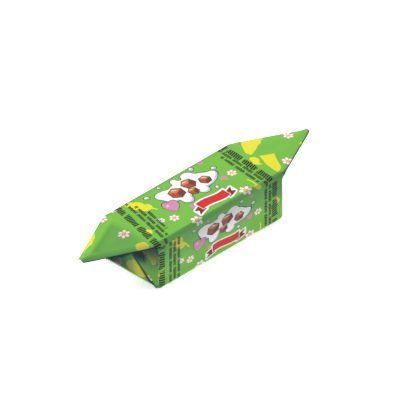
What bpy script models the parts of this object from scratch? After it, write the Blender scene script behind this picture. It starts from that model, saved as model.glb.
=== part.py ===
# Wrapped caramel sweet: a soft block in a folded wrapper with a pointed tail at each end.
# The block stands on z = 0 with its length along X and the tails level with its top.
import math

import bmesh
import bpy
from mathutils import Vector

mm = 0.001

# Driving dimensions
block_length = 41.3 * mm
block_width = 18.0 * mm
block_height = 12.9 * mm
edge_radius = 0.9 * mm
tail_length = 17.2 * mm
tail_droop = 0.6 * mm
tail_thickness = 0.8 * mm
tip_half_width = 0.6 * mm
droop_power = 1.3
root_depth = 2.4 * mm  # how far a tail reaches into the block
root_slope = 0.3  # how fast it sinks there below the top panel
valley_depth = 0.4 * mm
valley_place = 0.45  # across the tail, from 0 in the middle to 1 at the back edge
valley_spread = 0.35
fold_thickness = 0.4 * mm
crease_angle = math.radians(45)
splay_low = math.radians(7)
splay_high = math.radians(36)
splay_power = 1.6
tuck_root = 0.5 * mm  # how far a tuck reaches past the block's rounded edge
tuck_sink = 0.16 * mm  # how deep the middle of its film lies there
tuck_gap = 0.35 * mm  # from a tuck's inner edge to the middle plane
flap_thickness = 0.3 * mm
fold_rounding = 0.15 * mm

# Worked out from them
half_length = block_length / 2
half_width = block_width / 2
tail_half_root = half_width - 0.3 * edge_radius

for old in list(bpy.data.objects):
    bpy.data.objects.remove(old, do_unlink=True)

sweet = bpy.data.collections.new("wrapped_caramel")
bpy.context.scene.collection.children.link(sweet)
folds = bpy.data.collections.new("folds_to_join")
bpy.context.scene.collection.children.link(folds)


def film_material():
    """Green printed film with a satin shine."""
    material = bpy.data.materials.new("printed_film")
    material.use_nodes = True
    shader = material.node_tree.nodes["Principled BSDF"]
    shader.inputs["Base Color"].default_value = (0.22, 0.55, 0.10, 1.0)
    shader.inputs["Roughness"].default_value = 0.35
    shader.inputs["Metallic"].default_value = 0.0
    return material


def object_from(mesh_build, name, collection):
    """Turn a bmesh into a linked object."""
    mesh = bpy.data.meshes.new(name)
    mesh_build.to_mesh(mesh)
    mesh_build.free()
    made = bpy.data.objects.new(name, mesh)
    collection.objects.link(made)
    return made


def shaped_sheet(name, columns, rows, place, thickness):
    """A grid whose points place(u, v) sets, made solid about its middle."""
    build = bmesh.new()
    bmesh.ops.create_grid(build, x_segments=columns, y_segments=rows, size=0.5)
    for vert in build.verts:
        vert.co = place(vert.co.x + 0.5, vert.co.y + 0.5)
    bmesh.ops.remove_doubles(build, verts=build.verts, dist=0.02 * mm)
    sheet = object_from(build, name, folds)
    solid = sheet.modifiers.new("Thickness", "SOLIDIFY")
    solid.thickness = thickness
    solid.offset = 0
    solid.use_even_offset = True
    rounding = sheet.modifiers.new("Rounded folds", "BEVEL")
    rounding.width = fold_rounding
    rounding.segments = 2
    rounding.limit_method = "ANGLE"
    rounding.angle_limit = math.radians(50)
    return sheet


def tail_height(out, across):
    """Middle height of the tail: out runs root to tip, across -1 front to 1 back."""
    top = block_height - tail_thickness / 2
    on_tail = min(max(out, 0), 1)
    dip = root_slope * max(-out * tail_length - edge_radius, 0)
    droop = tail_droop * on_tail ** droop_power
    valley = valley_depth * math.exp(-((across - valley_place) / valley_spread) ** 2)
    return top - dip - droop - valley * math.sqrt(math.sin(math.pi * on_tail))


def add_tail(end):
    """The top panel running out as a long blunt triangle."""
    def place(u, v):
        along = -root_depth + u * (tail_length + root_depth)
        out = along / tail_length
        across = 2 * v - 1
        half = tail_half_root + (tip_half_width - tail_half_root) * max(out, 0)
        if out < 0:
            half = tail_half_root - 0.4 * edge_radius
        return Vector((end * (half_length + along), across * half, tail_height(out, across)))
    return shaped_sheet("tail", 20, 8, place, tail_thickness)


def add_tuck(end, side):
    """A side panel folded in under the tail, with a slanting lower crease."""
    low = edge_radius * 0.9

    def place(u, v):
        splay = splay_low + (splay_high - splay_low) * v ** splay_power
        widest = (half_width - edge_radius - tuck_gap) / math.cos(splay)
        rise = v * (block_height - low)
        reach = min(rise * math.tan(crease_angle) + fold_thickness, widest)
        inward = -tuck_root + u * (reach + tuck_root)
        lift = flap_thickness * min(max(inward / edge_radius, 0), 1)
        x = half_length - tuck_sink + lift + inward * math.sin(splay)
        y = side * (half_width - edge_radius - inward * math.cos(splay))
        under_tail = tail_height((x - half_length) / tail_length, y / half_width)
        z = low + v * (under_tail - low)
        return Vector((end * x, y, z))
    return shaped_sheet("tuck", 10, 14, place, fold_thickness)


def add_bottom_flap(end):
    """The bottom panel folded up flat against the end face."""
    flap_width = block_width - 2 * edge_radius
    flap_low = edge_radius
    flap_high = block_height - tail_thickness / 2
    build = bmesh.new()
    bmesh.ops.create_cube(build, size=1.0)
    bmesh.ops.scale(build, verts=build.verts, vec=(2 * flap_thickness, flap_width, flap_high - flap_low))
    bmesh.ops.translate(build, verts=build.verts, vec=(end * half_length, 0, (flap_low + flap_high) / 2))
    return object_from(build, "bottom_flap", folds)


def add_block():
    """The caramel block inside its film, with softly rounded edges."""
    build = bmesh.new()
    bmesh.ops.create_cube(build, size=1.0)
    bmesh.ops.scale(build, verts=build.verts, vec=(block_length, block_width, block_height))
    bmesh.ops.translate(build, verts=build.verts, vec=(0, 0, block_height / 2))
    block = object_from(build, "wrapper", sweet)
    bevel = block.modifiers.new("Soft edges", "BEVEL")
    bevel.width = edge_radius
    bevel.segments = 5
    bevel.limit_method = "NONE"
    return block


block = add_block()
block.data.materials.append(film_material())

for end in (-1, 1):
    add_tail(end)
    add_bottom_flap(end)
    for side in (-1, 1):
        add_tuck(end, side)

join = block.modifiers.new("Join folds", "BOOLEAN")
join.operation = "UNION"
join.operand_type = "COLLECTION"
join.collection = folds
join.solver = "EXACT"

graph = bpy.context.evaluated_depsgraph_get()
joined = bpy.data.meshes.new_from_object(block.evaluated_get(graph), depsgraph=graph)
block.modifiers.clear()
block.data = joined
block.data.name = "wrapper"

for fold in list(folds.objects):
    bpy.data.objects.remove(fold, do_unlink=True)
bpy.data.collections.remove(folds)
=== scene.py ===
import math

import bmesh
import bpy
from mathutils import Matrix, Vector


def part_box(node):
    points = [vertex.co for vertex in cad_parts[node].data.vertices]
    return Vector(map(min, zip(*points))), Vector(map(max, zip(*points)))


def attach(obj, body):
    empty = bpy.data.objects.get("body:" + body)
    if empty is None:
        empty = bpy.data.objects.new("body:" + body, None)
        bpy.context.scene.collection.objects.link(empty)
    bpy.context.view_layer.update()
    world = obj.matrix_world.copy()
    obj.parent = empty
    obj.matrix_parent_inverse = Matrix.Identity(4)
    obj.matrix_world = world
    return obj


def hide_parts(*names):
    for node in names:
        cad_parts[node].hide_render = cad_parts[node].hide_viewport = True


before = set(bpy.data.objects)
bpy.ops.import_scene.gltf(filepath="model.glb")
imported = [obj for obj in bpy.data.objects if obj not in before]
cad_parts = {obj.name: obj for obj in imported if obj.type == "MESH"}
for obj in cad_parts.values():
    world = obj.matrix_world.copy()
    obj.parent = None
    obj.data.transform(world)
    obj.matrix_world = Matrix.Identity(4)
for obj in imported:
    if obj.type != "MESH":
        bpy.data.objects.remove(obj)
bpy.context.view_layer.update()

mm = 0.001


def smooth(low, high, value):
    # 0 below low, 1 above high, with an easy start and finish
    part = min(max((value - low) / (high - low), 0), 1)
    return part * part * (3 - 2 * part)


def mix(a, b, part):
    return a + (b - a) * part


# The film wrapper: one printed sheet, from the tip of one tail to the tip of the other

boxLow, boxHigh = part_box("wrapper")
film = {
    "tail": 17.2 * mm,         # how far a tail stands out past the block
    "shoulder": 0.9 * mm,      # rounding of the long edges at the top
    "heel": 0.8 * mm,          # and at the bottom
    "endBend": 0.9 * mm,       # rounding where a panel turns in at an end
    "flapBend": 0.55 * mm,     # the same for the flap, which lies behind the tucks
    "web": 1.0 * mm,           # strip of the side panel that goes under the tail
    "tipHalf": 0.6 * mm,       # half the width of the blunt tip
    "tipCut": 0.55 * mm,       # the near tip is folded a little shorter
    "droop": 0.3 * mm,
    "edgeDrop": 0.34 * mm,     # how far the tail's edges lie below its middle
    "foldRound": 0.22 * mm,    # rounding of a tail's folded edges
    "foldFrom": 0.16,          # part of a tail's run in which its edges become that tight
    "ridgeStart": 0.69,        # place of a tail's ridge at the block, of half the width
    "ridgeEnd": -0.19,         # and at the tip
    "valley": 0.55 * mm,       # depth of the dent beside it
    "farValley": 0.3,          # how much of it the far tail has
    "splayLow": math.radians(8),     # of a side tuck out from the end face
    "splayHigh": math.radians(40),   # the same at its top
    "stand": 0.3 * mm,         # a tuck's distance from the flap behind it
    "middleGap": 0.3 * mm,     # from a tuck's inner edge to the middle plane
    "creaseStart": 0.9 * mm,   # where a tuck's lower crease begins to rise
    "creaseFoot": 0.6,         # how much of the heel it drops before that
    "creaseSlope": 1.1,
    "underGap": 0.05 * mm,     # between a tail and the top of a tuck
    "flapShort": 1.2 * mm,     # how far the flap ends below the block's top
    "lap": 1.6 * mm,           # of the two long edges of the sheet, underneath
    "lapStep": 0.16 * mm,
    "thickness": 0.09 * mm,
    "bulge": 0.12 * mm,
}
film["length"] = boxHigh[0] - boxLow[0] - 2 * film["tail"]
film["width"] = boxHigh[1] - boxLow[1]
film["height"] = boxHigh[2] - boxLow[2]
halfLength = film["length"] / 2
halfWidth = film["width"] / 2
blockTop = film["height"]
bendStart = halfLength - film["endBend"]


def turnPath(distance, radius, turn):
    # straight into an arc of this turn, then straight on: how far ahead and how far in
    arc = radius * turn
    if distance < arc:
        return radius * math.sin(distance / radius), radius * (1 - math.cos(distance / radius))
    rest = distance - arc
    return (radius * math.sin(turn) + rest * math.cos(turn),
            radius * (1 - math.cos(turn)) + rest * math.sin(turn))


def tailHalf(x):
    # outline of the tail: parallel on the block, a soft corner, then straight to the tip
    out = (x - halfLength) / film["tail"]
    soft = film["endBend"] / film["tail"]
    ramp = 0 if out < -soft else (out + soft) ** 2 / (4 * soft) if out < soft else out
    return halfWidth - (halfWidth - film["tipHalf"]) * min(ramp, 1)


def ridgeAt(out):
    return mix(film["ridgeStart"], film["ridgeEnd"], out) * halfWidth


def foldValley(x, y, end):
    # soft dent beside the straight ridge that runs from the back corner to the tip
    out = (x - halfLength) / film["tail"]
    ridge = ridgeAt(out)
    ahead = (ridge - y) / mm if end < 0 else (y + ridge) / mm
    depth = smooth(-0.3, 1.3, ahead) * (1 - smooth(1.3, 6.5, ahead))
    if end > 0:
        depth *= 1 - smooth(0.55, 0.95, abs(y) / max(tailHalf(x), 1 * mm))
    strength = film["valley"] * (1 if end < 0 else film["farValley"])
    return strength * depth * smooth(-0.04, 0.2, out) * (1 - smooth(0.8, 1, out))


def topHeight(x, y, end):
    # the top panel and the tails it runs into
    beyond = (x - halfLength) / film["tail"]
    out = max(beyond, 0)
    across = min(abs(y) / max(tailHalf(x), 1 * mm), 1)
    droop = film["droop"] * out ** 1.25
    sag = film["edgeDrop"] * smooth(0.3, 1.0, across) * smooth(-0.04, 0.05, beyond)
    crown = math.cos(min(abs(y) / halfWidth, 1) * math.pi / 2) * (1 - smooth(0, 0.3, out))
    return blockTop - droop - foldValley(x, y, end) - sag - film["bulge"] * (1 - crown)


def splayAt(z):
    return mix(film["splayLow"], film["splayHigh"], smooth(0.5, 1.0, z / blockTop))


def tuckPoint(part, z):
    # a point of the side tuck, by how far it runs in from the upright edge
    splay = splayAt(z)
    turn = math.pi / 2 - splay
    radius = film["endBend"]
    reach = halfWidth - film["middleGap"]
    whole = radius * turn + (reach - radius * (1 - math.cos(turn))) / math.sin(turn)
    ahead, inward = turnPath(part * whole, radius, turn)
    stand = film["stand"] * smooth(0.3 * mm, 2.5 * mm, inward)
    return bendStart + ahead + stand, halfWidth - inward, part * whole


def creaseHeight(inward):
    # the tuck's slanting lower crease, which starts at the foot of the upright edge
    foot = film["heel"] * (1 - film["creaseFoot"] * smooth(0, film["creaseStart"], inward))
    return foot + film["creaseSlope"] * max(inward - film["creaseStart"], 0)


def sheetPoint(zone, part, ring, end):
    # place on one half of an end (x outwards, y from the middle out) and its spot on the flat sheet
    tailRun = film["tail"] + film["endBend"] - (film["tipCut"] if end < 0 else 0)
    xTail = bendStart + ring * tailRun
    half = tailHalf(xTail)
    roundZ = mix(film["shoulder"], film["foldRound"], smooth(0, film["foldFrom"], ring))
    roundX = min(roundZ, half * 0.6)

    def onTop(y):
        return topHeight(xTail, y, end)

    # top of the tuck, just under the tail
    webLow = blockTop - film["shoulder"] - film["web"]
    xTuck, yTuck, runTuck = tuckPoint(ring, blockTop * 0.97)
    underTail = topHeight(xTuck, yTuck, end) - 2 * film["foldRound"] - film["underGap"]
    zTuckTop = mix(webLow, underTail, smooth(0, 0.3, ring))

    if zone == "top":
        y = part * (half - roundX)
        return Vector((xTail, y, onTop(y))), (xTail, y)
    if zone == "shoulder":
        angle = part * math.pi / 2
        y = half - roundX + roundX * math.sin(angle)
        z = onTop(half - roundX) - roundZ * (1 - math.cos(angle))
        flatArc = half - roundX + roundX * angle
        return Vector((xTail, y, z)), (xTail, flatArc)
    if zone == "web":
        cornerZ = onTop(half - roundX) - roundZ
        start = Vector((xTail, half, cornerZ))
        finish = Vector((xTuck, yTuck, zTuckTop))
        point = start.lerp(finish, part)
        if ring > 0:
            # close under the tail, but no more than a little higher than the straight way
            under = min(topHeight(point.x, point.y, end) - 2 * roundZ, point.z + 1 * mm)
            point.z = mix(point.z, under, smooth(0.25, 0.5, ring) * smooth(0, 0.3, part))
        flatFinish = halfWidth + (blockTop - zTuckTop)
        flatStart = half - roundX + roundX * math.pi / 2
        return point, (mix(xTail, bendStart + runTuck, part), mix(flatStart, flatFinish, part))
    if zone == "side":
        zLow = creaseHeight(halfWidth - tuckPoint(ring, film["heel"])[1])
        for _ in range(3):
            zLow = creaseHeight(halfWidth - tuckPoint(ring, zLow)[1])
        z = mix(zTuckTop, zLow, part)
        x, y, run = tuckPoint(ring, z)
        return Vector((x, y, z)), (bendStart + run, halfWidth + blockTop - z)
    # the flap that folds up, and the gusset between it and the tuck
    rise = ring * (blockTop - film["flapShort"])
    ahead, up = turnPath(rise, film["flapBend"], math.pi / 2)
    lap = film["lap"] * (1 - smooth(0.02, 0.12, ring))
    if zone == "bottom":
        y = (halfWidth - film["heel"]) * (1 - part) - lap * part
        return Vector((bendStart + ahead, y, up)), (bendStart + rise, halfWidth + blockTop + halfWidth - y)
    crease, creaseUv = sheetPoint("side", 1, ring, end)
    flapEdge, flapUv = sheetPoint("bottom", 0, ring, end)
    point = crease.lerp(flapEdge, part)
    angle = part * math.pi / 2
    bulge = (math.sin(angle) + math.cos(angle) - 1) * film["heel"] * (1 - smooth(0, 0.12, ring))
    point += Vector((0, 1, -1)) * bulge * 0.5
    return point, (mix(creaseUv[0], flapUv[0], part), mix(creaseUv[1], flapUv[1], part))


# painted shade, not the film's own colour: how much its colour is darkened in and beside its folds and
# under the tails, where shade falls, from 0 to 1
foldShade = {
    "edge": 0.22,              # at the front long edge of the block
    "backEdge": 0.08,
    "edgeTop": 0.7 * mm,       # how far it spreads over the top
    "edgeSide": 0.95,          # and down a side, of the block's height
    "side": 0.06,
    "farSide": 0.27,           # on the side panels beside the far tail
    "tailValley": 0.13,        # ahead of the near tail's ridge
    "tailFront": 0.23,
    "tailBack": 0.05,
    "frontSpread": 4.5 * mm,
    "tailEdge": 0.85,
    "deep": 1.0,               # under the tails
    "tuckTop": 0.60,
    "tuckLow": 0.16,
    "tuckInner": 0.9,
    "backTuck": 0.68,
    "flapFront": 0.10,
    "flapBack": 0.58,
    "flapTop": 0.75,
    "crease": 0.95,            # on the flap beside a tuck's crease
    "backCrease": 0.62,
    "steepness": 2.2,
}


# painted shade of a point of the sheet: darker below the long top edges, beside the far tail, under the
# tails and beside the tucks' creases
def shadeAt(zone, part, ring, end, side, point):
    # side is -1 at the front of the block and 1 at its back
    onTail = smooth(0.03, 0.12, ring)
    height = (blockTop - point.z) / blockTop
    along = point.x / halfLength
    atEdge = foldShade["edge"] if side < 0 else foldShade["backEdge"]
    if zone == "top":
        gap = tailHalf(abs(point.x)) - abs(point.y)
        near = atEdge * (1 - smooth(0, foldShade["edgeTop"], gap))
        if end < 0 and ring > 0:
            out = (abs(point.x) - halfLength) / film["tail"]
            valley = foldShade["tailValley"] * smooth(-0.4 * mm, 1.0 * mm, ridgeAt(out) - point.y)
            front = foldShade["tailFront"] * (1 - smooth(0, foldShade["frontSpread"], gap))
            front = front if side < 0 else 0
            near = max(mix(near, 0, onTail), max(valley, front) * smooth(-0.02, 0.12, out))
        return near
    onBlock = mix(foldShade["edge"], foldShade["farSide"], smooth(0.6, 0.95, along))
    onBlock = max(foldShade["side"], onBlock * (1 - smooth(0.0, foldShade["edgeSide"], height)))
    farSide = foldShade["farSide"] * smooth(0.75, 0.98, along) * (1 - smooth(0.3, 0.9, height))
    onBlock = max(onBlock, farSide)
    if zone == "shoulder":
        start = foldShade["tailFront"] if side < 0 else foldShade["tailBack"]
        return mix(mix(atEdge, onBlock, part), mix(start, foldShade["tailEdge"], part), onTail)
    if zone == "web":
        return mix(onBlock, foldShade["deep"], onTail)
    inward = halfWidth - abs(point.y)
    if zone == "side":
        tuck = mix(foldShade["tuckTop"], foldShade["tuckLow"], smooth(0.05, 0.72, height))
        inner = smooth(1.6 * mm, 4.5 * mm, inward) * (1 - smooth(0.28, 0.7, height))
        dark = max(tuck, foldShade["tuckInner"] * inner) * (foldShade["backTuck"] if side > 0 else 1)
        return mix(onBlock, dark, onTail)
    if ring == 0:
        return 0
    flap = mix(foldShade["flapFront"], foldShade["flapBack"], smooth(-4 * mm, 7 * mm, point.y))
    flap = mix(flap, foldShade["flapTop"], smooth(0.35, 0.9, point.z / blockTop))
    line = creaseHeight(inward) - 0.7 * mm - 0.2 * inward
    crease = foldShade["backCrease"] if side > 0 else foldShade["crease"]
    flap = max(flap, crease * smooth(line - 2.0 * mm, line, point.z))
    return mix(0, flap, onTail)


# half of the sheet's section, from the middle of the top round to the middle of the underside
zones = (("top", 16), ("shoulder", 7), ("web", 5), ("side", 18), ("heel", 5), ("bottom", 28))
halfColumns = []
for zone, steps in zones:
    for step in range(steps):
        halfColumns.append((zone, step / steps))
halfColumns.append(("bottom", 1.0))
columns = [(zone, part, 1) for zone, part in reversed(halfColumns)]
columns += [(zone, part, -1) for zone, part in halfColumns[1:]]

# rings run outwards from the end's bend, 0, to the tip, 1, closer together at the bend
bendRings = 7
bendPart = 0.14
tailRings = 31
rings = [bendPart * step / bendRings for step in range(1, bendRings + 1)]
rings += [mix(bendPart, 1, step / tailRings) for step in range(1, tailRings + 1)]
blockSteps = 84
stations = [(-1, ring) for ring in reversed(rings)]
stations += [(0, mix(-1, 1, step / blockSteps)) for step in range(blockSteps + 1)]
stations += [(1, ring) for ring in rings]


def wrapperPoint(column, station):
    zone, part, side = columns[column]
    end, value = stations[station]
    ring = value if end else 0
    point, flat = sheetPoint(zone, part, ring, end if end else (1 if value > 0 else -1))
    if end == 0:
        # along the block the section of the bend's start runs straight through
        point.x = value * bendStart
        flat = (point.x, flat[1])
    else:
        point.x *= end
        flat = (flat[0] * end, flat[1])
    point.y *= side
    flat = (flat[0], flat[1] * -side)
    # painted shade of this point, made steeper so that deep shade turns nearly black
    shade = shadeAt(zone, part, ring, end, side, point)
    if zone == "bottom" and side > 0:
        lift = film["lapStep"] * smooth(-3 * mm, 1 * mm, -point.y) * (1 - smooth(0.1, 0.2, ring))
        if end == 0 or ring < 0.05:
            point.z += lift
        else:
            point.x -= lift * end
    return point, flat, 1 - (1 - shade) ** foldShade["steepness"]


def buildWrapper():
    build = bmesh.new()
    bmesh.ops.create_grid(build, x_segments=len(columns) - 1, y_segments=len(stations) - 1, size=0.5)
    sheet = build.loops.layers.uv.new("Sheet")
    # second UV map, which carries the painted shade to the material
    paintedShadeUV = build.loops.layers.uv.new("Folds")
    flats = {}
    shades = {}
    for vert in build.verts:
        column = round((vert.co.x + 0.5) * (len(columns) - 1))
        station = round((vert.co.y + 0.5) * (len(stations) - 1))
        vert.co, flats[vert], shades[vert] = wrapperPoint(column, station)
    for face in build.faces:
        face.smooth = True
        for loop in face.loops:
            flat = flats[loop.vert]
            loop[sheet].uv = (flat[0] / mm, flat[1] / mm)
            loop[paintedShadeUV].uv = (shades[loop.vert], 0)
    bmesh.ops.recalc_face_normals(build, faces=build.faces)
    for edge in build.edges:
        if len(edge.link_faces) == 2 and edge.calc_face_angle(0) > math.radians(75):
            edge.smooth = False
    mesh = bpy.data.meshes.new("filmWrapper")
    build.to_mesh(mesh)
    build.free()
    piece = bpy.data.objects.new("filmWrapper", mesh)
    bpy.context.scene.collection.objects.link(piece)
    layer = piece.modifiers.new("filmThickness", "SOLIDIFY")
    layer.thickness = film["thickness"]
    layer.offset = -1
    return piece


wrapperPiece = buildWrapper()
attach(wrapperPiece, "root")
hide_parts("wrapper")
print("film wrapper:", len(wrapperPiece.data.polygons), "faces")


# The print, with the painted shade of the folds over it, in millimetres on the flat sheet: x along the
# block, v round it from the middle of the top

inks = {
    "leaf": (98, 169, 48),
    "leafPale": (109, 176, 58),
    # colours of painted shade, mixed over the print where shade falls in the folds and under the tails
    "shade": (5, 26, 32),
    "shadePale": (12, 62, 74),
    "butter": (212, 207, 30),
    "petal": (228, 228, 228),
    "petalRim": (196, 92, 44),
    "petalHeart": (222, 178, 16),
    "heartRing": (204, 104, 22),
    "mark": (10, 20, 6),
    "ribbon": (198, 24, 18),
    "ribbonBack": (128, 14, 16),
    "milk": (228, 228, 230),
    "milkShade": (176, 182, 194),
    "outline": (46, 38, 38),
    "caramel": (152, 66, 30),
    "caramelTop": (192, 112, 56),
    "caramelSide": (112, 42, 18),
    "rose": (196, 126, 162),
    "rosePale": (222, 178, 198),
}


def tint(name):
    # screen values to the linear ones that the shader takes
    return [((value / 255 + 0.055) / 1.055) ** 2.4 for value in inks[name]] + [1]


class Drawing:
    # wires small shape nodes together in one node tree
    def __init__(self, tree):
        self.tree = tree

    def put(self, socket, value):
        if isinstance(value, bpy.types.NodeSocket):
            self.tree.links.new(value, socket)
        else:
            socket.default_value = value

    def node(self, kind, *values, **settings):
        made = self.tree.nodes.new(kind)
        for name, value in settings.items():
            setattr(made, name, value)
        for socket, value in zip(made.inputs, values):
            self.put(socket, value)
        return made

    def calc(self, operation, *values):
        return self.node("ShaderNodeMath", *values, operation=operation).outputs[0]

    def split(self, vector):
        return self.node("ShaderNodeSeparateXYZ", vector).outputs

    def placed(self, spot, centre, angle=0, size=(1, 1)):
        # the spot as seen from a shape at this place, turned and sized
        turn = math.radians(angle)
        seen = []
        for along, across, extent in ((math.cos(turn), math.sin(turn), size[0]),
                                      (-math.sin(turn), math.cos(turn), size[1])):
            start = -(centre[0] * along + centre[1] * across) / extent
            part = self.calc("MULTIPLY_ADD", spot[0], along / extent, start)
            seen.append(self.calc("MULTIPLY_ADD", spot[1], across / extent, part))
        return seen

    def reach(self, spot):
        across = self.calc("MULTIPLY", spot[1], spot[1])
        return self.calc("SQRT", self.calc("MULTIPLY_ADD", spot[0], spot[0], across))

    def oval(self, spot, centre, size, angle=0):
        away = self.reach(self.placed(spot, centre, angle, size))
        return self.calc("MULTIPLY_ADD", away, min(size), -min(size))

    def slab(self, spot, centre, half, corner, angle=0):
        # rounded rectangle: distance to its edge
        over = []
        for part, extent in zip(self.placed(spot, centre, angle), half):
            beyond = self.calc("SUBTRACT", self.calc("ABSOLUTE", part), extent - corner)
            over.append(self.calc("MAXIMUM", beyond, 0))
        return self.calc("SUBTRACT", self.reach(over), corner)

    def wedge(self, spot, corners, softness):
        # polygon with rounded corners, which are given in turn from x towards v
        whole = None
        for (x, y), (nextX, nextY) in zip(corners, corners[1:] + corners[:1]):
            long = math.hypot(nextX - x, nextY - y)
            along, across = (nextY - y) / long, (x - nextX) / long
            side = self.calc("MULTIPLY_ADD", spot[0], along, -(x * along + y * across))
            side = self.calc("MULTIPLY_ADD", spot[1], across, side)
            whole = self.calc("SMOOTH_MAX", whole, side, softness) if whole else side
        return whole

    def merged(self, shapes, softness=0):
        # one outline round all of them, which flow together where softness is more than 0
        whole = shapes[0]
        for shape in shapes[1:]:
            if softness:
                whole = self.calc("SMOOTH_MIN", whole, shape, softness)
            else:
                whole = self.calc("MINIMUM", whole, shape)
        return whole

    def ovals(self, spot, places, softness):
        return self.merged([self.oval(spot, place[:2], place[2:4], place[4]) for place in places], softness)

    def inside(self, distance, grow=0.0):
        return self.calc("LESS_THAN", distance, grow)

    def both(self, first, second):
        return self.calc("MULTIPLY", first, second)

    def either(self, first, second):
        return self.calc("MAXIMUM", first, second)

    def between(self, value, low, high):
        return self.both(self.calc("GREATER_THAN", value, low), self.calc("LESS_THAN", value, high))

    def choose(self, mask, first, second):
        # first where the mask is 0, second where it is 1
        made = self.tree.nodes.new("ShaderNodeMix")
        for slot, value in zip((0, 2, 3), (mask, first, second)):
            self.put(made.inputs[slot], value)
        return made.outputs[0]

    def paint(self, under, ink, mask):
        made = self.tree.nodes.new("ShaderNodeMix")
        made.data_type = "RGBA"
        for slot, value in zip((0, 6, 7), (mask, under, tint(ink))):
            self.put(made.inputs[slot], value)
        return made.outputs[2]

    def group(self, tree, **values):
        made = self.tree.nodes.new("ShaderNodeGroup")
        made.node_tree = tree
        for name, value in values.items():
            self.put(made.inputs[name], value)
        return made.outputs

    def nearest(self, spot, places):
        # the spot as seen from the closest of these places, each with its own size and turn
        best = None
        for x, y, size, angle in places:
            other = self.placed(spot, (x, y), angle, (size, size))
            away = self.reach(other)
            if best is None:
                best, least = other, away
            else:
                closer = self.calc("LESS_THAN", away, least)
                least = self.calc("MINIMUM", away, least)
                best = [self.choose(closer, *pair) for pair in zip(best, other)]
        return best


def newGroup(name, inputs, outputs):
    tree = bpy.data.node_groups.new(name, "ShaderNodeTree")
    for label in inputs:
        tree.interface.new_socket(label, in_out="INPUT", socket_type="NodeSocketFloat")
    for label in outputs:
        kind = "NodeSocketColor" if label == "Colour" else "NodeSocketFloat"
        tree.interface.new_socket(label, in_out="OUTPUT", socket_type=kind)
    return tree, tree.nodes.new("NodeGroupInput").outputs, tree.nodes.new("NodeGroupOutput").inputs


daisy = {
    "petals": 6,
    "petalOut": 0.64,          # of the flower's radius, as are the next ones
    "petalSize": (0.34, 0.26),
    "rim": 0.06,
    "heart": 0.27,
    "ring": 0.34,
    # place, radius and turn on a panel of the block, across it from the back edge to the front one
    "onPanels": ((-10.3, 3.8, 1.3, 12), (-7.1, 8.1, 1.6, 0), (-13.2, 2.4, 0.95, 20), (12.1, 0.4, 1.25, 10),
                 (9.4, 7.6, 1.65, 24), (-18.1, -8.9, 1.3, 8)),
    "onTails": ((-23.0, -0.1, 1.5, 20), (-22.1, -8.2, 1.4, 0), (32.9, -1.5, 1.35, 14), (25.2, 5.8, 1.45, 4),
                (19.6, 8.6, 1.1, 30)),
    "underTails": ((23.3, 19.9, 1.3, 20), (21.7, -26.2, 1.45, 25), (24.6, 12.0, 1.2, 10),
                   (23.4, -14.8, 1.2, 40), (27.6, 25.0, 1.3, 0)),
    "sideTop": -7.4,           # on the upright panels none shows above this
}


def daisyGroup():
    tree, given, result = newGroup("Daisy", ["Along", "Across"], ["Petals", "Rim", "Ring", "Heart"])
    draw = Drawing(tree)
    x, y = given["Along"], given["Across"]
    step = 2 * math.pi / daisy["petals"]
    turn = draw.calc("WRAP", draw.calc("ARCTAN2", y, x), step / 2, -step / 2)
    reach = draw.reach((x, y))
    folded = (draw.calc("MULTIPLY", reach, draw.calc("COSINE", turn)),
              draw.calc("MULTIPLY", reach, draw.calc("SINE", turn)))
    petal = draw.oval(folded, (daisy["petalOut"], 0), daisy["petalSize"])
    draw.put(result["Petals"], draw.inside(petal))
    draw.put(result["Rim"], draw.inside(petal, daisy["rim"]))
    draw.put(result["Ring"], draw.inside(reach, daisy["ring"]))
    draw.put(result["Heart"], draw.inside(reach, daisy["heart"]))
    return tree


# butter-coloured splashes: place, half sizes and turn
splashes = {
    "onPanels": ((-12.9, -5.7, 1.7, 1.6, -30), (-11.8, -3.7, 1.5, 1.2, 20), (-14.0, -7.5, 1.0, 0.9, 0),
                 (-18.3, 3.2, 0.75, 0.85, 0), (12.6, 8.5, 0.95, 0.75, 20), (19.9, 0.4, 0.8, 1.3, 0)),
    "drips": ((-11.2, -2.5, 1.3, 0.22, 62), (12.9, 6.5, 1.6, 0.2, 84)),
    "onTails": ((-31.2, -4.3, 5.4, 1.5, -25), (-23.4, 6.3, 1.5, 1.7, 25), (32.8, 2.8, 0.6, 0.5, 0)),
    "wedges": (((23.3, -8.0), (28.5, -5.5), (24.1, -2.9), (20.5, -1.5), (20.0, -3.2)),
               ((21.6, 0.1), (24.9, 1.6), (22.4, 6.4), (20.1, 7.7), (20.1, 3.9)),
               ((19.9, -1.2), (19.7, 3.3), (18.2, 1.6), (19.0, -0.9))),
    "wedgeSoftness": 0.45,
    "underTails": ((22.1, 12.6, 1.45, 2.5, 12), (22.6, 29.4, 1.7, 3.4, -8), (22.6, -32.4, 1.7, 3.4, 8),
                   (22.8, -11.8, 1.9, 1.4, 30), (25.5, -21.0, 1.6, 1.3, 0), (29.0, 14.0, 2.4, 1.1, 20)),
    "wobble": 1.4,
    "overEdge": 0.5,           # how far the top's design runs over its long edges
    "sideShift": 1.5,
    "softness": 0.5,
}

# rows of short hatch strokes across the sheet near both ends
hatching = {
    "boldNear": 18.7,          # from the middle of the block to the middle of the bold row
    "boldFar": 17.45,
    "boldHalf": 1.02,
    "boldPitch": 0.64,
    "thinNear": 16.0,          # the outermost of the thin rows
    "thinFar": 15.9,
    "thinStep": 1.35,
    "thinHalf": 0.5,
    "thinPitch": 0.44,
    "leanNear": 0.225,         # of the rows on the top, along the block for each step across
    "leanFar": 0.09,
    "slant": 0.4,              # of a stroke
    "strokeHalf": 0.38,        # of a stroke's pitch
    "rowStart": -9.3,          # across the panel, of the thin rows
    "rowEnd": 9.5,
    "startStep": 3.3,          # each thin row on the top starts and ends this much further in
    "endStep": 2.0,
    "groupLength": 8.5,        # strokes from one gap to the next
    "groupGap": 0.13,
    "sideNear": 0.8,           # how far the rows shift on the upright panels
    "sideFar": -0.15,
}


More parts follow.
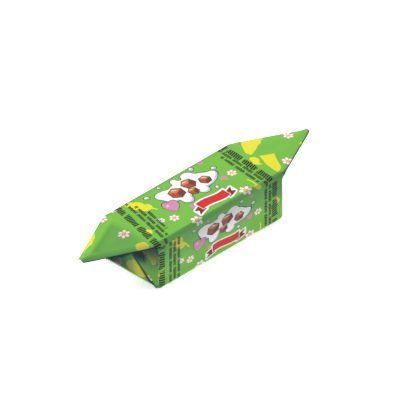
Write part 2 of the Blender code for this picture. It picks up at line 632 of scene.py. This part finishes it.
def hatchGroup():
    tree, given, result = newGroup("HatchRow", ["Along", "Across", "Pitch", "Half", "Seed"], ["Mask"])
    draw = Drawing(tree)
    across = draw.calc("DIVIDE", given["Across"], given["Half"])
    cells = draw.calc("DIVIDE", given["Along"], given["Pitch"])
    slanted = draw.calc("ADD", cells, draw.calc("MULTIPLY", across, hatching["slant"]))
    seed = draw.calc("ADD", draw.calc("FLOOR", slanted), draw.calc("MULTIPLY", given["Seed"], 17.3))
    chance = draw.node("ShaderNodeTexWhiteNoise", noise_dimensions="1D")
    draw.put(chance.inputs["W"], seed)
    local = draw.calc("ABSOLUTE", draw.calc("SUBTRACT", draw.calc("FRACT", slanted), 0.5))
    reach = draw.calc("MULTIPLY_ADD", chance.outputs["Value"], 0.35, 0.7)
    within = draw.inside(draw.calc("ABSOLUTE", across), reach)
    stroke = draw.both(draw.inside(local, hatching["strokeHalf"]), within)
    offset = draw.calc("MULTIPLY", given["Seed"], 0.37)
    stretch = draw.calc("ADD", draw.calc("DIVIDE", cells, hatching["groupLength"]), offset)
    printed = draw.calc("GREATER_THAN", draw.calc("FRACT", stretch), hatching["groupGap"])
    draw.put(result["Mask"], draw.both(stroke, printed))
    return tree


# splash of milk with caramel cubes, a heart and a plain ribbon, once on each panel
# milk and drops: place, half sizes and turn; cubes and hearts: place, size and turn
motif = {
    "milk": ((0.2, -2.6, 6.4, 2.7, -4), (-4.6, -3.4, 2.6, 1.8, 25), (5.6, -1.6, 2.8, 1.5, -22),
             (-2.6, 0.3, 1.3, 1.5, 10), (3.0, -5.2, 1.5, 1.4, 0), (2.2, 0.4, 1.2, 1.2, 0),
             (-0.4, -5.6, 0.9, 1.0, 0)),
    "drops": ((-8.2, -5.6, 0.6, 0.45, 30), (8.9, -3.6, 0.55, 0.5, 0), (5.4, -6.6, 0.5, 0.6, 20),
              (-1.0, 3.0, 0.4, 0.55, 0), (4.6, 1.7, 0.42, 0.5, 0), (-4.0, -6.5, 0.4, 0.4, 0)),
    "cubes": ((-2.7, -2.6, 1.75, 8), (1.3, -3.3, 1.6, -14), (4.7, -1.9, 1.35, 22), (0.2, -0.7, 1.2, -4)),
    "heart": (-6.9, 0.6, 1.75, 14),
    "smallHearts": ((7.9, 0.7, 0.75, -16), (-3.8, 3.2, 0.6, 12), (8.3, -6.6, 0.6, 10)),
    "line": 0.14,
    "place": (0.4, 0.1),
    "size": 1.15,
    "wobble": 0.7,
    "ribbonMiddle": (0.9, 4.1),
    "ribbonHalf": (3.8, 1.15),
    "ribbonLean": -0.1,
    "ribbonWave": 0.55,
    "ribbonRim": 0.4,
}


def cubeGroup():
    masks = ["Outline", "Body", "Top", "Side", "Shine"]
    tree, given, result = newGroup("CaramelCube", ["Along", "Across"], masks)
    draw = Drawing(tree)
    x, y = given["Along"], given["Across"]
    # the outline is a hexagon, as of a cube seen over a corner
    wide = draw.calc("ABSOLUTE", x)
    high = draw.calc("ABSOLUTE", y)
    slant = draw.calc("ADD", draw.calc("MULTIPLY", wide, 0.5), draw.calc("MULTIPLY", high, 0.866))
    body = draw.calc("SUBTRACT", draw.calc("SMOOTH_MAX", wide, slant, 0.12), 0.87)
    # v grows towards the viewer's side, so the top face is where it is low
    top = draw.inside(draw.calc("ADD", y, draw.calc("MULTIPLY", wide, 0.577)), 0.0)
    side = draw.both(draw.calc("GREATER_THAN", x, 0.0), draw.calc("SUBTRACT", 1, top))
    draw.put(result["Outline"], draw.inside(body, 0.11))
    draw.put(result["Body"], draw.inside(body))
    draw.put(result["Top"], top)
    draw.put(result["Side"], side)
    draw.put(result["Shine"], draw.inside(draw.slab((x, y), (-0.05, -0.62), (0.34, 0.055), 0.05, 24)))
    return tree


def heartShape(draw, spot):
    # y minus the root of |x| inside a circle; spot is in units of the heart's size
    lobes = draw.calc("SQRT", draw.calc("ABSOLUTE", spot[0]))
    bent = draw.calc("MULTIPLY_ADD", lobes, 0.75, spot[1])
    return draw.calc("SUBTRACT", draw.reach((spot[0], bent)), 1)


def drawMotif(draw, colour, spot, gentle):
    line = motif["line"]
    milk = draw.ovals(gentle, motif["milk"], 0.8)
    drops = draw.ovals(gentle, motif["drops"], 0)
    splash = draw.merged([milk, drops])
    colour = draw.paint(colour, "outline", draw.inside(splash, line))
    colour = draw.paint(colour, "milkShade", draw.inside(splash))
    litSpot = (draw.calc("ADD", gentle[0], 0.2), draw.calc("ADD", gentle[1], 0.42))
    lit = draw.ovals(litSpot, motif["milk"] + motif["drops"], 0.5)
    colour = draw.paint(colour, "milk", draw.both(draw.inside(lit), draw.inside(splash)))

    cubeSpot = draw.nearest(spot, motif["cubes"])
    cube = draw.group(cubeGroup(), Along=cubeSpot[0], Across=cubeSpot[1])
    colour = draw.paint(colour, "outline", cube["Outline"])
    colour = draw.paint(colour, "caramel", cube["Body"])
    colour = draw.paint(colour, "caramelTop", draw.both(cube["Body"], cube["Top"]))
    colour = draw.paint(colour, "caramelSide", draw.both(cube["Body"], cube["Side"]))
    colour = draw.paint(colour, "milk", cube["Shine"])

    x, y, size, angle = motif["heart"]
    heartSpot = draw.placed(spot, (x, y), angle, (size, size))
    heart = heartShape(draw, heartSpot)
    colour = draw.paint(colour, "outline", draw.inside(heart, line / size))
    colour = draw.paint(colour, "rose", draw.inside(heart))
    shine = draw.oval(heartSpot, (-0.42, -0.62), (0.26, 0.15), -35)
    colour = draw.paint(colour, "rosePale", draw.inside(shine))
    small = heartShape(draw, draw.nearest(spot, motif["smallHearts"]))
    colour = draw.paint(colour, "rose", draw.inside(small))

    # the ribbon waves along x, and its folded ends lie a little lower
    x, y = spot
    centre = motif["ribbonMiddle"]
    away = draw.calc("SUBTRACT", x, centre[0])
    wave = draw.calc("MULTIPLY", draw.calc("SINE", draw.calc("MULTIPLY", away, 0.55)), motif["ribbonWave"])
    rise = draw.calc("ADD", draw.calc("MULTIPLY", away, motif["ribbonLean"]), wave)
    off = draw.calc("SUBTRACT", draw.calc("SUBTRACT", y, centre[1]), rise)
    band = (draw.calc("ABSOLUTE", away), off)
    half = motif["ribbonHalf"]
    front = draw.slab(band, (0, 0), half, 0.12)
    tail = draw.slab(band, (half[0] + 0.5, 0.7), (1.2, half[1] * 0.8), 0.1)
    notch = draw.slab(band, (half[0] + 1.95, 0.7), (0.65, 0.65), 0.05, 45)
    tail = draw.calc("MAXIMUM", tail, draw.calc("MULTIPLY", notch, -1))
    rim = motif["ribbonRim"]
    colour = draw.paint(colour, "milk", draw.inside(draw.merged([front, tail]), rim))
    colour = draw.paint(colour, "ribbonBack", draw.inside(tail))
    colour = draw.paint(colour, "milk", draw.inside(front, 0.14))
    colour = draw.paint(colour, "ribbon", draw.inside(front))
    beads = (draw.calc("WRAP", away, 0.66, -0.66), off)
    dots = draw.both(draw.inside(draw.oval(beads, (0, 0), (0.3, 0.3))), draw.inside(front, -0.5))
    return draw.paint(colour, "milk", dots)


filmFinish = {
    "roughness": 0.33,
    "variation": 0.16,
    "gloss": 0.28,             # specular level
    "wobbleScale": 0.36,       # of the print's uneven outlines, for each millimetre
    "cloudScale": 0.09,
    "crinkle": 0.10,
    "crinkleScale": 0.5,
    "crinkleHeight": 0.3 * mm,
}


# the print's colour with painted shade mixed over it, and the film's roughness
def printAndShadeGroup():
    given = ["Along", "Around", "Shade", "WobbleAlong", "WobbleAround", "Cloud"]
    tree, given, result = newGroup("WrapperPrintAndShade", given, ["Colour", "Roughness"])
    draw = Drawing(tree)
    x, v = given["Along"], given["Around"]
    width = film["width"] / mm
    height = film["height"] / mm
    topEdge = width / 2 + splashes["overEdge"]

    # the same design fills each panel, drawn to the panel's own width
    away = draw.calc("ABSOLUTE", v)
    sign = draw.calc("SIGN", v)
    onTop = draw.inside(away, topEdge)
    onSide = draw.between(away, topEdge, width / 2 + height)
    onBottom = draw.calc("GREATER_THAN", away, width / 2 + height)
    shift = draw.calc("ADD", draw.calc("MULTIPLY", onSide, (width + height) / 2),
                      draw.calc("MULTIPLY", onBottom, width + height))
    stretch = draw.calc("ADD", draw.calc("MULTIPLY", onSide, width / height - 1), 1)
    across = draw.calc("MULTIPLY", draw.calc("SUBTRACT", v, draw.calc("MULTIPLY", sign, shift)), stretch)
    spot = (x, across)
    far = draw.calc("GREATER_THAN", x, 0)
    out = draw.calc("ABSOLUTE", x)
    beyond = draw.calc("GREATER_THAN", out, halfLength / mm)
    under = draw.both(beyond, draw.calc("SUBTRACT", 1, onTop))
    onBlock = draw.calc("SUBTRACT", 1, under)
    underSpot = (out, v)

    def wobbled(start, strength):
        pairs = zip((given["WobbleAlong"], given["WobbleAround"]), start)
        return [draw.calc("MULTIPLY_ADD", wobble, strength, place) for wobble, place in pairs]

    loose = wobbled(spot, splashes["wobble"])
    loose[0] = draw.calc("MULTIPLY_ADD", onSide, splashes["sideShift"], loose[0])
    gentle = wobbled(spot, motif["wobble"])
    colour = draw.paint(tint("leaf"), "leafPale", given["Cloud"])

    # butter splashes
    soft = splashes["softness"]
    patch = draw.ovals(loose, splashes["onPanels"], soft)
    drips = [draw.slab(gentle, place[:2], place[2:4], place[3], place[4]) for place in splashes["drips"]]
    mask = draw.both(draw.inside(draw.merged([patch] + drips, soft)), onBlock)
    tails = draw.ovals(loose, splashes["onTails"], soft)
    for corners in splashes["wedges"]:
        tails = draw.calc("MINIMUM", tails, draw.wedge(gentle, corners, splashes["wedgeSoftness"]))
    mask = draw.either(mask, draw.both(draw.inside(tails), onTop))
    tucks = draw.ovals(wobbled(underSpot, splashes["wobble"]), splashes["underTails"], soft)
    mask = draw.either(mask, draw.both(draw.inside(tucks), under))
    colour = draw.paint(colour, "butter", mask)

    size = (motif["size"], motif["size"])
    colour = drawMotif(draw, colour, draw.placed(spot, motif["place"], 0, size),
                       draw.placed(gentle, motif["place"], 0, size))

    # daisies
    blooms = draw.nearest(spot, daisy["onPanels"])
    onTails = draw.nearest(spot, daisy["onTails"])
    blooms = [draw.choose(beyond, *pair) for pair in zip(blooms, onTails)]
    underTails = draw.nearest(underSpot, daisy["underTails"])
    blooms = [draw.choose(under, *pair) for pair in zip(blooms, underTails)]
    stamp = draw.group(daisyGroup(), Along=blooms[0], Across=blooms[1])
    cut = draw.both(draw.both(onSide, onBlock), draw.inside(across, daisy["sideTop"]))
    whole = draw.calc("SUBTRACT", 1, cut)
    parts = (("Rim", "petalRim"), ("Petals", "petal"), ("Ring", "heartRing"), ("Heart", "petalHeart"))
    for mask, ink in parts:
        colour = draw.paint(colour, ink, draw.both(stamp[mask], whole))

    # hatch rows: they lean on the top panel and run straight on the others
    lean = draw.choose(far, hatching["leanNear"], hatching["leanFar"])
    leaning = draw.calc("MULTIPLY", across, lean)
    sideShift = draw.choose(far, hatching["sideNear"], hatching["sideFar"])
    place = draw.calc("ADD", x, draw.choose(onTop, sideShift, leaning))
    place = draw.calc("ABSOLUTE", place)
    boldOff = draw.calc("SUBTRACT", place, draw.choose(far, hatching["boldNear"], hatching["boldFar"]))
    hatch = hatchGroup()
    half = hatching["boldHalf"]
    bold = draw.group(hatch, Along=v, Across=boldOff, Pitch=hatching["boldPitch"], Half=half, Seed=far)
    bold = draw.both(bold["Mask"], draw.inside(draw.calc("ABSOLUTE", boldOff), half))
    step = hatching["thinStep"]
    thinOff = draw.calc("SUBTRACT", draw.choose(far, hatching["thinNear"], hatching["thinFar"]), place)
    row = draw.calc("FLOOR", draw.calc("ADD", draw.calc("DIVIDE", thinOff, step), 0.5))
    rowOff = draw.calc("WRAP", thinOff, step / 2, -step / 2)
    half = hatching["thinHalf"]
    thin = draw.group(hatch, Along=v, Across=rowOff, Pitch=hatching["thinPitch"], Half=half, Seed=row)
    thin = draw.both(thin["Mask"], draw.inside(draw.calc("ABSOLUTE", rowOff), half))
    # three thin rows near one end, two near the other
    thin = draw.both(thin, draw.between(row, -0.5, draw.choose(far, 2.5, 1.5)))
    topRow = draw.both(row, onTop)
    rowStart = draw.calc("MULTIPLY_ADD", topRow, hatching["startStep"], hatching["rowStart"])
    rowEnd = draw.calc("MULTIPLY_ADD", topRow, -hatching["endStep"], hatching["rowEnd"])
    thin = draw.both(thin, draw.between(across, rowStart, rowEnd))
    marks = draw.both(draw.either(bold, thin), onBlock)

    # painted shade of the folds over the print, then the rows, which stay dark in it
    colour = draw.paint(colour, "shadePale", given["Shade"])
    colour = draw.paint(colour, "shade", draw.both(given["Shade"], given["Shade"]))
    colour = draw.paint(colour, "mark", marks)
    draw.put(result["Colour"], colour)
    satin = draw.calc("MULTIPLY_ADD", given["Cloud"], filmFinish["variation"], filmFinish["roughness"])
    draw.put(result["Roughness"], draw.choose(given["Shade"], satin, 1.0))
    return tree


def filmMaterial():
    material = bpy.data.materials.new("printedFilmPaintedShade")
    material.use_nodes = True
    tree = material.node_tree
    draw = Drawing(tree)
    shader = tree.nodes["Principled BSDF"]
    sheet = draw.node("ShaderNodeUVMap", uv_map="Sheet").outputs["UV"]
    paintedShadeUV = draw.node("ShaderNodeUVMap", uv_map="Folds").outputs["UV"]
    bend = draw.node("ShaderNodeTexNoise", sheet)
    bend.inputs["Scale"].default_value = filmFinish["wobbleScale"]
    bend.inputs["Detail"].default_value = 1
    bends = draw.node("ShaderNodeSeparateColor", bend.outputs["Color"]).outputs
    bends = [draw.calc("SUBTRACT", part, 0.5) for part in bends]
    cloud = draw.node("ShaderNodeTexNoise", sheet)
    cloud.inputs["Scale"].default_value = filmFinish["cloudScale"]
    x, v, _ = draw.split(sheet)
    # painted shade, read back from its UV map
    shade, _, _ = draw.split(paintedShadeUV)
    printed = draw.group(printAndShadeGroup(), Along=x, Around=v, Shade=shade, WobbleAlong=bends[0],
                        WobbleAround=bends[1], Cloud=cloud.outputs["Fac"])
    draw.put(shader.inputs["Base Color"], printed["Colour"])
    draw.put(shader.inputs["Roughness"], printed["Roughness"])
    shader.inputs["Specular IOR Level"].default_value = filmFinish["gloss"]
    crinkle = draw.node("ShaderNodeTexNoise", sheet)
    crinkle.inputs["Scale"].default_value = filmFinish["crinkleScale"]
    crinkle.inputs["Detail"].default_value = 4
    bump = tree.nodes.new("ShaderNodeBump")
    bump.inputs["Strength"].default_value = filmFinish["crinkle"]
    bump.inputs["Distance"].default_value = filmFinish["crinkleHeight"]
    draw.put(bump.inputs["Height"], crinkle.outputs["Fac"])
    draw.put(shader.inputs["Normal"], bump.outputs["Normal"])
    return material


wrapperPiece.data.materials.append(filmMaterial())
print("print drawn:", len(bpy.data.node_groups["WrapperPrintAndShade"].nodes), "nodes")


# Floor, light and camera

studio = {
    "azimuth": -45.35,
    "elevation": 34.71,
    "distance": 3.6,
    "frameSide": 400,          # of the photograph, in pixels
    "pixelsPerMetre": 4300,
    "centreX": 193.94,         # pixel of the block's centre
    "centreY": 216.02,
    "centreHeight": 6.45 * mm,
    "floorDrop": 0.02 * mm,
    "floorPale": 0.95,
    "floorGlow": 0.5,          # like a light table, which leaves hardly any shadow
    "sky": 0.85,
    "lampPlace": (-0.25, 0.25, 0.6),
    "lampSize": 0.5,
    "lampPower": 3.0,
}

floorMesh = bmesh.new()
bmesh.ops.create_grid(floorMesh, x_segments=1, y_segments=1, size=3)
floorData = bpy.data.meshes.new("floor")
floorMesh.to_mesh(floorData)
floorMesh.free()
floor = bpy.data.objects.new("floor", floorData)
floor.location.z = -studio["floorDrop"]
bpy.context.scene.collection.objects.link(floor)
floorPaint = bpy.data.materials.new("floorPaint")
floorPaint.use_nodes = True
floorShader = floorPaint.node_tree.nodes["Principled BSDF"]
floorShader.inputs["Base Color"].default_value = (*[studio["floorPale"]] * 3, 1)
floorShader.inputs["Roughness"].default_value = 0.8
floorShader.inputs["Emission Color"].default_value = (1, 1, 1, 1)
floorShader.inputs["Emission Strength"].default_value = studio["floorGlow"]
floorData.materials.append(floorPaint)

world = bpy.data.worlds.new("studio")
bpy.context.scene.world = world
world.use_nodes = True
world.node_tree.nodes["Background"].inputs["Color"].default_value = (1, 1, 1, 1)
world.node_tree.nodes["Background"].inputs["Strength"].default_value = studio["sky"]


def softLight(name, place, size, power):
    data = bpy.data.lights.new(name, "AREA")
    data.size = size
    data.energy = power
    lamp = bpy.data.objects.new(name, data)
    lamp.location = place
    lamp.rotation_euler = (-Vector(place)).to_track_quat("-Z", "Y").to_euler()
    bpy.context.scene.collection.objects.link(lamp)


softLight("skyPanel", studio["lampPlace"], studio["lampSize"], studio["lampPower"])
print("floor and light set")

azimuth = math.radians(studio["azimuth"])
elevation = math.radians(studio["elevation"])
right = Vector((math.cos(azimuth), math.sin(azimuth), 0))
level = Vector((math.sin(azimuth), -math.cos(azimuth), 0))
back = level * math.cos(elevation) + Vector((0, 0, math.sin(elevation)))
up = back.cross(right)
scale = studio["pixelsPerMetre"]
middle = studio["frameSide"] / 2
aim = Vector((0, 0, studio["centreHeight"]))
aim += right * (middle - studio["centreX"]) / scale + up * (studio["centreY"] - middle) / scale
cameraData = bpy.data.cameras.new("camera")
cameraData.lens = scale * studio["distance"] / studio["frameSide"] * cameraData.sensor_width
cameraData.clip_start = 0.01
camera = bpy.data.objects.new("camera", cameraData)
camera.location = aim + back * studio["distance"]
camera.rotation_euler = back.to_track_quat("Z", "Y").to_euler()
bpy.context.scene.collection.objects.link(camera)
bpy.context.scene.camera = camera
bpy.context.scene.view_settings.view_transform = "Standard"
